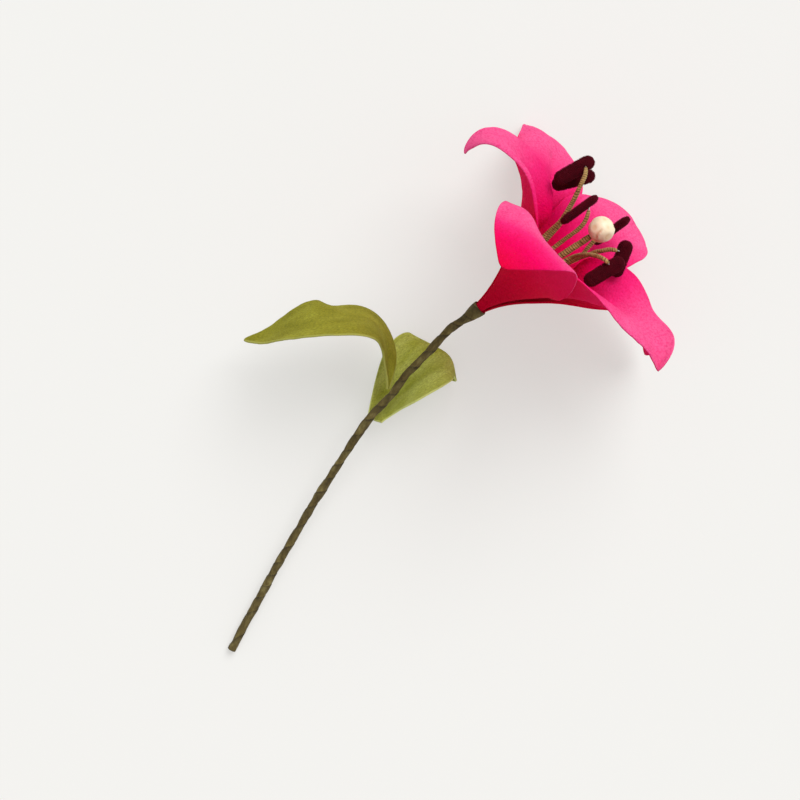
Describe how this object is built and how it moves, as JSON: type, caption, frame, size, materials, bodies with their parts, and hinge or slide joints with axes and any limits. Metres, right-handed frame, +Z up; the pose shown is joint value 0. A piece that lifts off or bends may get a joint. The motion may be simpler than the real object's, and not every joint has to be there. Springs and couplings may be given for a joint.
{
  "type": "paper flower",
  "caption": "Long-stemmed craft lily: formed pink petals in a taped collar, wound stamens with velvet anthers, a pearl-tipped pistil and green leaves on a wrapped wire stem.",
  "frame": {"origin": "middle of the underside of the bounding box, on the surface that the flower lies on", "axes": "+Z is up, the way the open side of the flower looks; +X is to the right and +Y is away, so the stem comes from the lower left and the bloom points to the upper right"},
  "size_m": [0.2192, 0.2752, 0.1471],
  "materials": {
    "petal_sheet": "matte, soft, felt-like, 1 mm sheet",
    "leaf_sheet": "matte, soft, with short fibre streaks, 1.2 mm sheet",
    "stem_tape": "matte crepe tape, wound in a spiral",
    "bare_wire": "drawn wire",
    "wound_thread": "matte thread, tightly wound",
    "anther_pile": "short velvet pile",
    "pearl": "satin pearl with soft facets"
  },
  "bodies": {
    "root": {"leaf_arching": "leaf_sheet", "leaf_cupped": "leaf_sheet", "petal_back_curl": "petal_sheet", "petal_far": "petal_sheet", "petal_front_fold": "petal_sheet", "petal_low": "petal_sheet", "petal_top": "petal_sheet", "petal_under": "petal_sheet", "pistil_pearl": "pearl", "pistil_thread": "wound_thread", "pistil_wire": "bare_wire", "stamen_1_anther": "anther_pile", "stamen_1_thread": "wound_thread", "stamen_1_wire": "bare_wire", "stamen_2_anther": "anther_pile", "stamen_2_thread": "wound_thread", "stamen_2_wire": "bare_wire", "stamen_3_anther": "anther_pile", "stamen_3_thread": "wound_thread", "stamen_3_wire": "bare_wire", "stamen_4_anther": "anther_pile", "stamen_4_thread": "wound_thread", "stamen_4_wire": "bare_wire", "stamen_5_anther": "anther_pile", "stamen_5_thread": "wound_thread", "stamen_5_wire": "bare_wire", "stamen_6_anther": "anther_pile", "stamen_6_thread": "wound_thread", "stamen_6_wire": "bare_wire", "stem_wire": "bare_wire", "stem_wrap": "stem_tape"}
  },
  "joints": []
}
